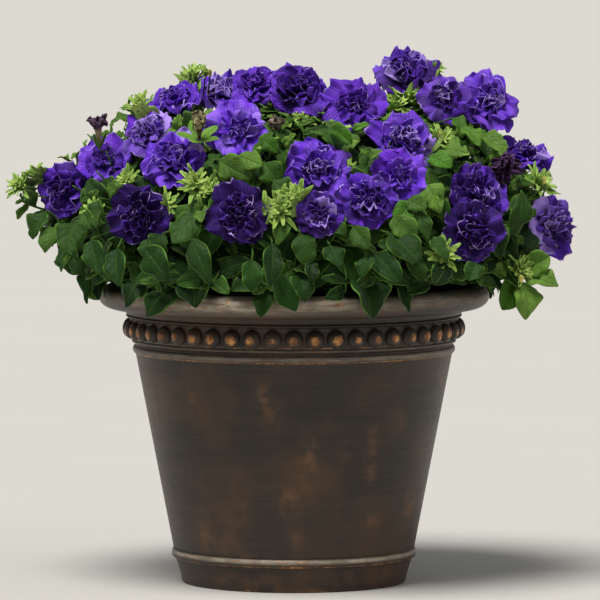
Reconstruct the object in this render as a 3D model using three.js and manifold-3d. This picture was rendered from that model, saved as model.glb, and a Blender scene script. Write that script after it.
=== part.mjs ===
// A double petunia growing in a round standing planter.
// Millimetres, +Z up, origin at the middle of the pot's flat underside, front towards -Y.
// The pot is one moulded shell. Soil fills it, branches rise from the soil, and each flower
// sits on the calyx that ends its stem.

import * as THREE from 'three';
import { mergeVertices } from 'three/addons/utils/BufferGeometryUtils.js';
import Module from 'manifold-3d';

const wasm = await Module();
wasm.setup();

// ---- Driving dimensions ----

const seatGap = 0.3;                 // left between pieces that rest on each other
const roundSegments = 50;            // facets round the pot, one for each bead

const baseRadius = 116.5;
const footHeight = 25.5;
const footTopRadius = 123;
const footRing = { z: 30.5, half: 5, root: 124.5, reach: 3 };
const wallBottom = { radius: 125.6, z: 36 };
const wallTop = { radius: 164.6, z: 238.5 };
const lowerRing = { z: 243, half: 4, root: 164.8, reach: 2.8 };
const grooveRadius = 165.5;
const upperRing = { z: 251.8, half: 1.9, root: 166.5, reach: 2.2 };
const bandRadius = 171.4;
const bandBottomZ = 255;
const bandTopZ = 275.5;
const fillet = { z: 278.2, half: 1.6, root: 172.5, reach: 2.2 };
const neckRadius = 175.9;
const neckTopZ = 284;
const rimRoll = { radius: 188, z: 298, halfWidth: 15, halfHeight: 12 };
const rimUnderside = 0.72;           // half turns from the rim's outermost line to the neck

const innerFloorZ = 6;
const innerFloorRadius = 112;
const innerWallTop = { radius: 159.4, z: 240 };
const innerNeck = { radius: 169.6, z: 284 };

const beadCount = 50;
const beadRadius = 9.5;
const beadReach = 7;                 // how far a bead stands out from the band
const beadRoot = 3;                  // how far it is sunk into the band
const beadZ = 264.6;

const drainMarkCount = 5;
const drainMarkRadius = 7;
const drainMarkDepth = 1.2;
const drainMarkRing = 70;

const soilFlatZ = 287;
const soilFlatRadius = 105;
const soilEdgeZ = 280;

const stemRadius = 2.2;
const forkRadius = 1.8;
const stemSides = 3;
const stemSteps = 6;
const forkSteps = 3;
const forkStep = 3;                  // forks leave the main stem at the end of this step of it
const rootSpread = 0.3;              // a stem leaves the soil this far out along its tip's place
const startReach = 0.42;             // how long a stem keeps its first direction, as a part of it
const endReach = 0.38;               // and its last direction

const tubeLength = 0.85;             // a flower's tube behind its limb, as a part of its radius
const flowerSolidScale = 0.92;       // the limb's solid, as a part of the ruffled flower's radius
const petalWaves = 4;
const petalWaveHeight = 0.09;
const calyxLength = 9;
const calyxRadius = 3.4;
const calyxOverlap = 1;

const shootLeaves = 3;
const tipLeafLength = 34;
const fullLeafLength = 56;
const leafWidth = 0.62;              // as a part of its length
const leafThickness = 1.4;
const leafOverlap = 2;               // a blade's foot starts this far inside its stem
const leafMargin = 0.5;              // kept clear round a blade
const leafSpacing = 7;               // between a shoot's first two leaves, wider further back
const leafTries = 4;
const leafTryAngle = 0.8;
const leafHang = 0.35;               // how far a leaf's direction is pulled downhill
const leafLift = 0.3;                // and away from the mound
const flowerLeafGap = 22;            // from a flower's calyx back to its first leaf
const shootLeafGap = 3;
const goldenAngle = 2.399963;

const moundBaseZ = 300;
const moundReach = { x: 290, y: 240, z: 240 };

// Flowers: place of the limb's middle, diameter, then the way that it faces in degrees:
// turn from the front towards +X, and lift above level. The first 24 face the front.
const flowers = [
  [-238, -40, 410, 58, -30, 10],
  [-195, -50, 440, 54, -10, 40],
  [-125, -10, 505, 56, -30, 55],
  [-75, 35, 508, 54, 10, 50],
  [-150, -70, 473, 52, -35, 35],
  [-122, -130, 445, 64, -10, 30],
  [-57, -120, 475, 62, 5, 25],
  [-157, -160, 390, 62, -15, 10],
  [-56, -215, 393, 58, 0, 10],
  [-40, -5, 516, 50, -15, 50],
  [5, -45, 512, 60, 10, 45],
  [65, -60, 500, 60, 0, 35],
  [117, 20, 528, 62, 0, 45],
  [155, -25, 505, 50, -10, 30],
  [203, 10, 500, 62, 25, 35],
  [112, -105, 462, 64, 5, 35],
  [25, -165, 437, 60, -10, 25],
  [75, -195, 407, 56, 5, 20],
  [26, -215, 393, 46, -5, 10],
  [108, -158, 430, 52, 15, 20],
  [188, -112, 411, 62, 20, 25],
  [182, -150, 371, 58, 20, 0],
  [243, 10, 447, 56, 40, 60],
  [270, -20, 372, 60, 45, 5],
  [-210, 90, 430, 56, -120, 25],
  [-130, 110, 480, 58, -150, 45],
  [-40, 140, 480, 60, 170, 40],
  [60, 120, 495, 58, 170, 50],
  [150, 120, 465, 58, 140, 35],
  [225, 110, 415, 56, 115, 20],
  [-110, 205, 400, 58, -160, 15],
  [20, 225, 400, 60, 175, 15],
  [130, 205, 400, 56, 155, 10],
];

// Branches: the flowers that each one bears, by number, and the ends of its leafy shoots.
const branches = [
  { flowers: [1], shoots: [[-282, -30, 398], [-232, -75, 345]] },
  { flowers: [2], shoots: [[-200, -120, 338]] },
  { flowers: [3], shoots: [[-170, -10, 492]] },
  { flowers: [4, 10], shoots: [[-95, -15, 525]] },
  { flowers: [5], shoots: [[-172, -60, 440]] },
  { flowers: [6], shoots: [[-165, -130, 425]] },
  { flowers: [7], shoots: [[-90, -160, 425]] },
  { flowers: [8], shoots: [[-140, -180, 322], [-190, -130, 372]] },
  { flowers: [9], shoots: [[-85, -212, 322]] },
  { flowers: [11, 12], shoots: [[30, -85, 480]] },
  { flowers: [13, 14], shoots: [[150, 15, 525]] },
  { flowers: [15], shoots: [[170, -60, 465]] },
  { flowers: [16, 20], shoots: [[145, -135, 395]] },
  { flowers: [17], shoots: [[-10, -195, 415]] },
  { flowers: [18], shoots: [[85, -215, 330], [125, -190, 350]] },
  { flowers: [19], shoots: [[0, -222, 340], [-30, -218, 318]] },
  { flowers: [21, 22], shoots: [[190, -125, 325]] },
  { flowers: [23], shoots: [[258, -20, 425], [215, -40, 455]] },
  { flowers: [24], shoots: [[238, -70, 335], [255, 60, 340]] },
  { flowers: [25], shoots: [[-265, 50, 380], [-225, 105, 330]] },
  { flowers: [26, 31], shoots: [[-170, 170, 335]] },
  { flowers: [27], shoots: [[-60, 222, 330], [-45, 195, 430]] },
  { flowers: [28, 32], shoots: [[60, 222, 330]] },
  { flowers: [29, 33, 30], shoots: [[175, 165, 335], [215, 110, 335]] },
];

// ---- Solids ----

// The closed body of a geometry: its corners joined and its collapsed triangles dropped.
function solidOf(geometry) {
  const bare = geometry.clone();
  bare.deleteAttribute('normal');
  bare.deleteAttribute('uv');
  const joined = mergeVertices(bare, 1e-3);
  const triangles = [];
  for (let i = 0; i < joined.index.count; i += 3) {
    const corners = [joined.index.getX(i), joined.index.getX(i + 1), joined.index.getX(i + 2)];
    if (new Set(corners).size === 3) {
      triangles.push(...corners);
    }
  }
  return new wasm.Manifold(new wasm.Mesh({
    numProp: 3,
    vertProperties: new Float32Array(joined.attributes.position.array),
    triVerts: new Uint32Array(triangles),
  }));
}

function geometryOf(solid) {
  const mesh = solid.getMesh();
  const geometry = new THREE.BufferGeometry();
  geometry.setAttribute('position', new THREE.BufferAttribute(new Float32Array(mesh.vertProperties), 3));
  geometry.setIndex(new THREE.BufferAttribute(new Uint32Array(mesh.triVerts), 1));
  geometry.computeVertexNormals();
  return geometry;
}

function meshOf(name, solid, material) {
  const mesh = new THREE.Mesh(geometryOf(solid), material);
  mesh.name = name;
  return mesh;
}

// A profile of [radius, height] points turned round the Z axis.
function turned(profile, segments) {
  const points = profile.map(([radius, z]) => new THREE.Vector2(radius, z));
  return new THREE.LatheGeometry(points, segments).rotateX(Math.PI / 2);
}

// A half-round moulding that stands out from the wall.
function moulding({ z, half, root, reach }, steps) {
  const points = [];
  for (let i = 0; i <= steps; i++) {
    const angle = -Math.PI / 2 + Math.PI * i / steps;
    points.push([root + reach * Math.cos(angle), z + half * Math.sin(angle)]);
  }
  return points;
}

// ---- Pot ----

// The rolled rim, from its underside at the neck, round the outside to its inner edge.
function rimSection(steps = 7) {
  const points = [];
  const from = -rimUnderside * Math.PI;
  const to = Math.PI;
  for (let i = 0; i <= steps; i++) {
    const angle = from + (to - from) * i / steps;
    points.push([
      rimRoll.radius + rimRoll.halfWidth * Math.cos(angle),
      rimRoll.z + rimRoll.halfHeight * Math.sin(angle),
    ]);
  }
  return points;
}

function buildPot() {
  const profile = [
    [0, 0],
    [baseRadius, 0],
    [footTopRadius, footHeight],
    ...moulding(footRing, 3),
    [wallBottom.radius, wallBottom.z],
    [wallTop.radius, wallTop.z],
    ...moulding(lowerRing, 2),
    [grooveRadius, lowerRing.z + lowerRing.half + 1],
    ...moulding(upperRing, 2),
    [bandRadius, bandBottomZ],
    [bandRadius, bandTopZ],
    ...moulding(fillet, 2),
    [neckRadius, neckTopZ],
    ...rimSection(),
    [innerNeck.radius, innerNeck.z],
    [innerWallTop.radius, innerWallTop.z],
    [innerFloorRadius, innerFloorZ],
    [0, innerFloorZ],
  ];
  let pot = solidOf(turned(profile, roundSegments));
  for (let i = 0; i < beadCount; i++) {
    const angle = 2 * Math.PI * (i + 0.5) / beadCount;
    const bead = turned([
      [0, -beadRoot],
      [beadRadius, -beadRoot],
      [0.75 * beadRadius, 0.65 * beadReach],
      [0, beadReach],
    ], 6);
    bead.rotateY(Math.PI / 2);
    bead.translate(bandRadius, 0, beadZ);
    bead.rotateZ(angle);
    pot = pot.add(solidOf(bead));
  }
  for (let i = 0; i < drainMarkCount; i++) {
    const angle = Math.PI / 2 + 2 * Math.PI * i / drainMarkCount;
    const mark = new THREE.CylinderGeometry(drainMarkRadius, drainMarkRadius, 2 * drainMarkDepth, 12);
    mark.rotateX(Math.PI / 2);
    mark.translate(drainMarkRing * Math.cos(angle), drainMarkRing * Math.sin(angle), 0);
    pot = pot.subtract(solidOf(mark));
  }
  return pot;
}

// ---- Soil ----

function buildSoil() {
  const slope = (innerNeck.radius - innerWallTop.radius) / (innerNeck.z - innerWallTop.z);
  const edgeRadius = innerWallTop.radius + slope * (soilEdgeZ - innerWallTop.z);
  return solidOf(turned([
    [0, innerFloorZ + seatGap],
    [innerFloorRadius - seatGap, innerFloorZ + seatGap],
    [innerWallTop.radius - seatGap, innerWallTop.z],
    [edgeRadius - seatGap, soilEdgeZ],
    [soilFlatRadius, soilFlatZ],
    [0, soilFlatZ],
  ], roundSegments));
}

// ---- Flowers ----

function facingOf([, , , , turn, lift]) {
  const turnAngle = THREE.MathUtils.degToRad(turn);
  const liftAngle = THREE.MathUtils.degToRad(lift);
  return new THREE.Vector3(
    Math.sin(turnAngle) * Math.cos(liftAngle),
    -Math.cos(turnAngle) * Math.cos(liftAngle),
    Math.sin(liftAngle),
  );
}

function placeOf([x, y, z]) {
  return new THREE.Vector3(x, y, z);
}

// One corolla: a tube that opens into a wavy limb, domed by its inner petals.
function buildFlower(flower) {
  const radius = flowerSolidScale * flower[3] / 2;
  const corolla = turned([
    [0, -tubeLength],
    [0.12, -tubeLength],
    [0.2, -0.42],
    [1, -0.04],
    [0.86, 0.18],
    [0.46, 0.38],
    [0, 0.46],
  ], 2 * petalWaves);
  const places = corolla.attributes.position;
  for (let i = 0; i < places.count; i++) {
    const reach = Math.hypot(places.getX(i), places.getY(i));
    const angle = Math.atan2(places.getY(i), places.getX(i));
    places.setZ(i, places.getZ(i) + petalWaveHeight * reach ** 2 * Math.cos(petalWaves * angle));
  }
  corolla.scale(radius, radius, radius);
  const turnToFacing = new THREE.Quaternion().setFromUnitVectors(
    new THREE.Vector3(0, 0, 1),
    facingOf(flower),
  );
  corolla.applyQuaternion(turnToFacing);
  corolla.translate(flower[0], flower[1], flower[2]);
  return solidOf(corolla);
}

// ---- Branches ----

const straightUp = new THREE.Vector3(0, 0, 1);

// The end of a flower's stalk, where its calyx starts.
function stalkEnd(flower) {
  const behind = tubeLength * flowerSolidScale * flower[3] / 2 + seatGap + calyxLength;
  return placeOf(flower).addScaledVector(facingOf(flower), -behind);
}

// A shoot's tip points outwards: down below this height, level at it, and upwards above it.
const levelShootZ = 350;
const shootRisePerHeight = 1 / 90;

function shootDirection(tip) {
  const out = new THREE.Vector3(tip.x, tip.y, 0).normalize();
  const rise = THREE.MathUtils.clamp((tip.z - levelShootZ) * shootRisePerHeight, -0.75, 1.4);
  return out.setZ(rise).normalize();
}

// A smooth run from one point and direction to another.
function growthLine(start, startDirection, end, endDirection) {
  const reach = start.distanceTo(end);
  return new THREE.CubicBezierCurve3(
    start,
    start.clone().addScaledVector(startDirection, startReach * reach),
    end.clone().addScaledVector(endDirection, -endReach * reach),
    end,
  );
}

function tube(path, radius, steps) {
  const section = new THREE.Shape();
  for (let i = 0; i < stemSides; i++) {
    const angle = 2 * Math.PI * i / stemSides;
    const point = [radius * Math.cos(angle), radius * Math.sin(angle)];
    if (i === 0) {
      section.moveTo(...point);
    } else {
      section.lineTo(...point);
    }
  }
  section.closePath();
  return new THREE.ExtrudeGeometry(section, { steps, extrudePath: path });
}

// Places a geometry made along +Z at a point, with its Z along a direction and its Y near up.
function pointed(geometry, place, direction, up) {
  const side = new THREE.Vector3().crossVectors(up, direction).normalize();
  const top = new THREE.Vector3().crossVectors(direction, side);
  const turnTo = new THREE.Matrix4().makeBasis(side, top, direction);
  return geometry.applyMatrix4(turnTo.setPosition(place));
}

const calyxUp = new THREE.Vector3(0.3, 0.2, 1);

function calyx(flower) {
  const cup = turned([
    [0, -calyxOverlap],
    [stemRadius, -calyxOverlap],
    [calyxRadius, calyxLength],
    [0, calyxLength],
  ], stemSides);
  return solidOf(pointed(cup, stalkEnd(flower), facingOf(flower), calyxUp));
}

// A leaf blade from its foot along a direction: a thin six-sided lens, grown by a margin for tests.
function leaf(foot, direction, upper, length, margin) {
  const blade = new THREE.SphereGeometry(1, 6, 2);
  blade.rotateX(Math.PI / 2);
  blade.scale(length / 2 + margin, leafWidth * length / 2 + margin, leafThickness / 2 + margin);
  blade.translate(length / 2 - leafOverlap, 0, 0);
  const side = new THREE.Vector3().crossVectors(upper, direction).normalize();
  const top = new THREE.Vector3().crossVectors(direction, side);
  const turnTo = new THREE.Matrix4().makeBasis(direction, side, top);
  return solidOf(blade.applyMatrix4(turnTo.setPosition(foot)));
}

function touches(solid, others) {
  return others.some((other) => !solid.intersect(other).isEmpty());
}

// The middle of a stem's straight steps, this far along its path.
function onStem(path, steps, along) {
  const step = Math.min(Math.floor(along * steps), steps - 1);
  const before = path.getPointAt(step / steps);
  const after = path.getPointAt((step + 1) / steps);
  return before.lerp(after, along * steps - step);
}

// The way that the mound's surface faces at a place near it.
function moundNormal(place) {
  return new THREE.Vector3(
    place.x / moundReach.x ** 2,
    place.y / moundReach.y ** 2,
    Math.max(0, place.z - moundBaseZ) / moundReach.z ** 2,
  ).normalize();
}

// Leaves stand alternately round a stem, small at its tip and larger further back. Each turns
// its upper side outwards, hangs a little and leans another way where it would touch something.
function leavesAlong(path, steps, count, firstGap, others) {
  const blades = [];
  const length = path.getLength();
  let back = firstGap;
  for (let i = 0; i < count; i++) {
    const foot = onStem(path, steps, 1 - back / length);
    const normal = moundNormal(foot);
    const across = new THREE.Vector3().crossVectors(straightUp, normal).normalize();
    const downhill = new THREE.Vector3().crossVectors(across, normal);
    const size = tipLeafLength + (fullLeafLength - tipLeafLength) * i / (shootLeaves - 1);
    for (let lean = 0; lean < leafTries; lean++) {
      const angle = goldenAngle * i + foot.x + leafTryAngle * lean;
      const direction = across.clone().multiplyScalar(Math.cos(angle));
      direction.addScaledVector(downhill, Math.sin(angle) + leafHang);
      direction.addScaledVector(normal, leafLift).normalize();
      if (!touches(leaf(foot, direction, normal, size, leafMargin), others)) {
        blades.push(leaf(foot, direction, normal, size, 0));
        break;
      }
    }
    back += leafSpacing * (i + 1);
  }
  return blades;
}

// The stem paths of a branch: the main one to its first flower, and forks to all its other ends.
function branchPaths(branch) {
  const [firstFlower, ...otherFlowers] = branch.flowers.map((number) => flowers[number - 1]);
  const first = placeOf(firstFlower);
  const root = new THREE.Vector3(rootSpread * first.x, rootSpread * first.y, soilFlatZ + seatGap);
  const main = growthLine(root, straightUp, stalkEnd(firstFlower), facingOf(firstFlower));
  const forkStart = main.getPointAt(forkStep / stemSteps);
  const forkDirection = main.getTangentAt(forkStep / stemSteps);
  const toFlowers = otherFlowers.map((flower) => (
    growthLine(forkStart, forkDirection, stalkEnd(flower), facingOf(flower))
  ));
  const toShoots = branch.shoots.map((place) => {
    const tip = new THREE.Vector3(...place);
    return growthLine(forkStart, forkDirection, tip, shootDirection(tip));
  });
  return { main, toFlowers, toShoots };
}

function buildStems(branch) {
  const { main, toFlowers, toShoots } = branchPaths(branch);
  let solid = solidOf(tube(main, stemRadius, stemSteps));
  for (const path of [...toFlowers, ...toShoots]) {
    solid = solid.add(solidOf(tube(path, forkRadius, forkSteps)));
  }
  for (const number of branch.flowers) {
    solid = solid.add(calyx(flowers[number - 1]));
  }
  return solid;
}

function buildLeaves(branch, others) {
  const { main, toFlowers, toShoots } = branchPaths(branch);
  return [
    ...toShoots.flatMap((path) => leavesAlong(path, forkSteps, shootLeaves, shootLeafGap, others)),
    ...toFlowers.flatMap((path) => leavesAlong(path, forkSteps, 1, flowerLeafGap, others)),
    ...leavesAlong(main, stemSteps, 1, flowerLeafGap, others),
  ];
}

// ---- The whole plant in its pot ----

const potMaterial = new THREE.MeshStandardMaterial({ color: 0x3a2e26, roughness: 0.5, metalness: 0.3 });
const soilMaterial = new THREE.MeshStandardMaterial({ color: 0x2b2018, roughness: 1, metalness: 0 });
const leafMaterial = new THREE.MeshStandardMaterial({ color: 0x4f8034, roughness: 0.6, metalness: 0 });
const petalMaterial = new THREE.MeshStandardMaterial({ color: 0x3c2490, roughness: 0.7, metalness: 0 });

const group = new THREE.Group();
const twoDigits = (number) => String(number).padStart(2, '0');

const pot = buildPot();
const soil = buildSoil();
const flowerSolids = flowers.map(buildFlower);
const branchSolids = branches.map(buildStems);
branches.forEach((branch, index) => {
  const others = [pot, soil, ...flowerSolids, ...branchSolids.filter((_, i) => i !== index)];
  for (const blade of buildLeaves(branch, others)) {
    branchSolids[index] = branchSolids[index].add(blade);
  }
});

group.add(meshOf('pot', pot, potMaterial));
group.add(meshOf('soil', soil, soilMaterial));
branchSolids.forEach((solid, index) => {
  group.add(meshOf(`branch_${twoDigits(index + 1)}`, solid, leafMaterial));
});
flowerSolids.forEach((solid, index) => {
  group.add(meshOf(`flower_${twoDigits(index + 1)}`, solid, petalMaterial));
});

export default group;
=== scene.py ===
import math
import random

import bmesh
import bpy
import numpy as np
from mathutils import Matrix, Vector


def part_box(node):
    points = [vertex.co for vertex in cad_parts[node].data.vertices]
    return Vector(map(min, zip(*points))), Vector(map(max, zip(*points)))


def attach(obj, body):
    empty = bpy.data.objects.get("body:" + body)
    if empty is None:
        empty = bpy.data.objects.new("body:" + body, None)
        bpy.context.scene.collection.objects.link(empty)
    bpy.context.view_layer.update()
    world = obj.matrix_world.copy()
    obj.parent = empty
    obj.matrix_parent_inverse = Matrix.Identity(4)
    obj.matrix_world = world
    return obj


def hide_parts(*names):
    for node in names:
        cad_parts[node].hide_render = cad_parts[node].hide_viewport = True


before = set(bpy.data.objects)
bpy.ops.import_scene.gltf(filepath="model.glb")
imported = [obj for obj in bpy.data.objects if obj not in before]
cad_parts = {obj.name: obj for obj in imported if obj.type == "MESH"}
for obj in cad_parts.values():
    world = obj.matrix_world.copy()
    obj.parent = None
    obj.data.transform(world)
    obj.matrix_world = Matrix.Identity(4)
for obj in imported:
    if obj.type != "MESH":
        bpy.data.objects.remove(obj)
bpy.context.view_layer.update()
mm = 0.001


# ---- The planter's shell ---------------------------------------------------------------------
# One shell of moulded resin: a foot, a tapered wall, rings, a flat band and a rolled rim.
# It is painted dark bronze, brushed level, and rubbed back to copper where hands would wear it.

foot_radius = 116.5
wall_foot = (125.6, 36.6)
wall_head = (164.4, 237.6)
bead_band_radius = 171.4
rim_middle = (188, 298)
rim_half = (15, 12)
inner_floor_z = 6
pot_segments = 300


def arc(middle, half, start, stop, steps):
    """Points along an ellipse's arc, from one angle to another in half turns."""
    angles = np.linspace(start, stop, steps + 1) * math.pi
    return [(middle[0] + half[0] * math.cos(a), middle[1] + half[1] * math.sin(a)) for a in angles]


def line(start, stop, steps):
    """Points along a straight stretch, without its last one."""
    return [tuple(p) for p in np.linspace(start, stop, steps, endpoint=False)]


pot_outline = [
    *arc((foot_radius - 1.3, 1.3), (1.3, 1.3), -0.5, 0, 4),
    *line((117.4, 6), (122.6, 24.2), 6),
    (123.1, 25.2),
    *arc((124.3, 30.5), (3.1, 4.8), -0.5, 0.5, 12),
    (125.1, 35.9),
    *line(wall_foot, wall_head, 62),
    wall_head,
    (164.7, 238.5),
    *arc((164.9, 243), (2.7, 3.9), -0.5, 0.5, 12),
    (164.7, 247.6),
    (165.5, 248.8),
    *arc((166.8, 251.8), (1.9, 1.8), -0.5, 0.5, 8),
    (168.0, 254.2),
    (170.7, 254.7),
    *line((bead_band_radius, 255.6), (bead_band_radius, 274.8), 6),
    (bead_band_radius, 275.6),
    *arc((172.4, 278), (2.2, 1.6), -0.5, 0.5, 8),
    (174.4, 280.2),
    (175.4, 281.6),
    (175.9, 284.2),
    *arc(rim_middle, rim_half, -0.72, 1, 44),
    (171.6, 291),
    *line((169.6, 284), (159.4, 240), 4),
    *line((159.4, 240), (112, inner_floor_z), 10),
    (112, inner_floor_z),
]


def ring_faces(rings, segments):
    """Faces that join each ring of points to the next one."""
    row, column = np.mgrid[0:rings - 1, 0:segments]
    following = (column + 1) % segments
    corners = [row * segments + column, row * segments + following]
    corners += [corner + segments for corner in reversed(corners)]
    return np.stack(corners, axis=2).reshape(-1, 4).tolist()


def turned(outline, segments):
    """Corners and faces of an outline turned round Z, both of its ends left open."""
    angles = np.linspace(0, 2 * np.pi, segments, endpoint=False)
    radius, height = np.array(outline, dtype=float).T
    points = np.stack([
        np.outer(radius, np.cos(angles)),
        np.outer(radius, np.sin(angles)),
        np.repeat(height[:, None], segments, axis=1),
    ], axis=2).reshape(-1, 3)
    return points, ring_faces(len(outline), segments)


def in_scene(name, data):
    """A new object in the scene for a mesh, a lamp or a camera."""
    made = bpy.data.objects.new(name, data)
    bpy.context.scene.collection.objects.link(made)
    return made


def smooth_shape(name, points, faces, finish, values=None):
    """A smooth mesh object from corners in millimetres, with one value per corner for each name."""
    mesh = bpy.data.meshes.new(name)
    mesh.from_pydata((np.asarray(points) * mm).tolist(), [], faces)
    for label, numbers in (values or {}).items():
        layer = mesh.attributes.new(label, "FLOAT", "POINT")
        layer.data.foreach_set("value", np.asarray(numbers, dtype=np.float32))
    mesh.shade_smooth()
    mesh.materials.append(finish.material)
    return in_scene(name, mesh)


def piece(name, points, faces, finish, values=None):
    """A shape that is part of the planter or of the plant."""
    made = smooth_shape(name, points, faces, finish, values)
    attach(made, "root")
    return made


class Field:
    """A number or colour that changes over a surface: one output socket of a material's nodes."""

    def __init__(self, finish, socket):
        self.finish = finish
        self.socket = socket

    def math(self, operation, first, second):
        return self.finish.node("Math", {"operation": operation}, {0: first, 1: second})

    def __add__(self, other):
        return self.math("ADD", self, other)

    def __sub__(self, other):
        return self.math("SUBTRACT", self, other)

    def __rsub__(self, other):
        return self.math("SUBTRACT", other, self)

    def __mul__(self, other):
        return self.math("MULTIPLY", self, other)

    def __abs__(self):
        return self.math("ABSOLUTE", self, 0)

    def larger(self, other):
        return self.math("MAXIMUM", self, other)

    __radd__ = __add__
    __rmul__ = __mul__

    def wave(self):
        """The sine of this number of turns."""
        return self.math("SINE", self * (2 * math.pi), 0)

    def between(self, low, high):
        """0 below low and 1 above high, with a soft step between, or the reverse if low is above."""
        return self.finish.node("MapRange", {"interpolation_type": "SMOOTHSTEP"}, {
            "Value": self, "From Min": low, "From Max": high,
        })


class Finish:
    """A material of one shader: even values are set as constants, and fields feed the rest."""

    def __init__(self, name, **constants):
        self.material = bpy.data.materials.new(name)
        self.material.use_nodes = True
        self.tree = self.material.node_tree
        self.shader = self.tree.nodes["Principled BSDF"]
        for label, value in constants.items():
            self.shader.inputs[label.replace("_", " ")].default_value = value

    def node(self, kind, settings, inputs, output=0):
        """One output of a new node, with its settings made first and then its sockets fed."""
        made = self.tree.nodes.new("ShaderNode" + kind)
        for setting, value in settings.items():
            setattr(made, setting, value)
        for label, value in inputs.items():
            self.feed(made.inputs[label], value)
        return Field(self, made.outputs[output])

    def feed(self, socket, value):
        if isinstance(value, Field):
            self.tree.links.new(value.socket, socket)
        else:
            socket.default_value = value

    def noise(self, scale, detail=3, squeeze=(1, 1, 1)):
        """Noise of this many lumps to the metre, and of more of them where an axis is squeezed."""
        point = self.node("TexCoord", {}, {}, "Object")
        squeezed = self.node("VectorMath", {"operation": "MULTIPLY"}, {0: point, 1: squeeze})
        return self.node("TexNoise", {}, {"Vector": squeezed, "Scale": scale, "Detail": detail})

    def value(self, label):
        """A number that the mesh holds at each of its corners."""
        return self.node("Attribute", {"attribute_name": label}, {}, "Fac")

    def mix(self, factor, first, second):
        """A colour between two others: the first where the factor is 0, the second where it is 1."""
        return self.node("Mix", {"data_type": "RGBA"}, {0: factor, 6: first, 7: second}, 2)

    def paint(self, **fields):
        """Feeds the shader's sockets of these names."""
        for label, value in fields.items():
            self.feed(self.shader.inputs[label.replace("_", " ")], value)

    def relief(self, bumps, height):
        """The surface's direction where bumps of this height in metres stand on it."""
        return self.node("Bump", {}, {"Height": bumps, "Distance": height})


def colour(red, green, blue):
    """A material colour from the screen colour that an eye would name, 0 to 255."""
    return tuple(((c / 255 + 0.055) / 1.055) ** 2.4 if c > 10 else c / 3294.6
                 for c in (red, green, blue)) + (1.0,)


# The paint: level brush marks, soft worn patches, pale dust mixed with painted highlight on the tops
# of the rings and rim, and bare copper on the worn crests.
bronze = Finish("bronze_paint", IOR=1.4, Coat_Weight=0.06, Coat_Roughness=0.35)
patchy, dust_and_highlight = bronze.value("stained"), bronze.value("dust_and_highlight")
mottle = bronze.noise(75, 4)
brushed = bronze.noise(9, 4, (1, 1, 42))
grain = bronze.noise(420, 2)
scratches = bronze.noise(130, 3, (1, 1, 5)).between(0.57, 0.65) * dust_and_highlight
wiped = bronze.noise(52, 5, (1, 1, 6)).between(0.34, 0.66)
dark = bronze.mix(brushed.between(0.25, 0.75), colour(40, 35, 31), colour(53, 44, 36))
cloudy = bronze.mix(bronze.noise(13, 4).between(0.42, 0.68) * 0.75, dark, colour(74, 53, 37))
warm = bronze.mix(patchy * mottle.between(0.3, 0.7) * 0.8, cloudy, colour(112, 78, 52))
# The pale colour of dust and of painted highlight on the tops of the rings and rim.
dusted_and_highlit = bronze.mix(dust_and_highlight * (0.45 + 0.5 * wiped), warm, colour(173, 162, 145))
rubbed = (bronze.value("worn") * 1.3 + grain * 0.6 + mottle * 0.9 - 1.15).between(0.05, 0.6)
crest = rubbed.larger(scratches * 0.8)
copper = bronze.mix(bronze.noise(170, 2).between(0.35, 0.65), colour(122, 74, 42), colour(196, 140, 84))
bronze.paint(
    Base_Color=bronze.mix(crest, dusted_and_highlit, copper),
    Roughness=0.5 - 0.1 * brushed - 0.06 * crest + 0.05 * mottle,
    Metallic=0.12 + 0.25 * crest,
    Normal=bronze.relief(brushed * 0.3 + grain * 0.35, 0.0006),
)

shell_points, shell_faces = turned(pot_outline, pot_segments)
inner_rim = len(shell_points) - pot_segments
shell_faces.append(list(range(inner_rim, len(shell_points))))


def near(number, middle, spread):
    """1 at a middle, fading softly to 0 on both sides of it."""
    return np.exp(-((number - middle) / spread) ** 2)


shell_radius = np.hypot(shell_points[:, 0], shell_points[:, 1])
shell_height = shell_points[:, 2]
shell_turn = np.arctan2(shell_points[:, 0], -shell_points[:, 1])
outside = shell_radius > np.interp(shell_height, (0, 36, 238, 284, 310), (110, 122, 161, 172, 180))
ring_wear = (
    0.6 * near(shell_height, 27.2, 1.2)
    + 0.66 * near(shell_height, 239.8, 0.9)
    + 0.35 * near(shell_height, 250.6, 1.2)
    + 0.5 * near(shell_height, 255.2, 1.0)
    + 0.3 * near(shell_height, 278, 1.2)
    + 0.34 * near(shell_height, 300, 7) * (shell_radius > 194)
    + 0.4 * near(shell_height, 1, 2.5)
)
# Pale dust and painted highlight on the tops of the foot ring, the rings and the rim, strongest at the rim's
# front left, where the key light falls.
top_dust_and_highlight = (
    0.9 * near(shell_height, 32.6, 2.0)
    + 0.55 * near(shell_height, 243.8, 2.6)
    + 0.4 * near(shell_height, 252.6, 1.2)
    + near(shell_height, 302, 6.5) * (0.45 + 0.35 * near(shell_turn, -0.1, 0.8))
    + 0.9 * near(shell_height, 301, 7) * near(shell_turn, -0.35, 0.5)
)

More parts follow.
